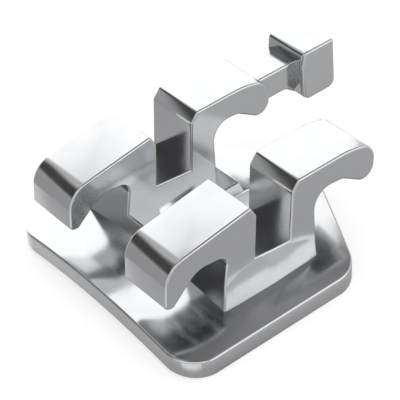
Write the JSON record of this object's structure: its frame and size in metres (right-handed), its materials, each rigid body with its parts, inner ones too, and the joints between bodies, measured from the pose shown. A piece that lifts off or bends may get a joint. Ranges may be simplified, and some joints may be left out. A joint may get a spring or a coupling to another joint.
{
  "type": "orthodontic bracket",
  "caption": "Low-profile twin orthodontic bracket with four tie wings, an archwire slot, a hook and an arched bonding pad, moulded in one piece of steel.",
  "frame": {"origin": "middle of the bounding box in X and Y, at the lowest points of the bonding pad's rim", "axes": "+X along the archwire slot, +Y towards the hook, +Z away from the tooth"},
  "size_m": [0.0038, 0.0046, 0.0017],
  "materials": {
    "steel": "polished, as moulded and tumbled"
  },
  "bodies": {
    "root": {"bracket": "steel"}
  },
  "joints": []
}
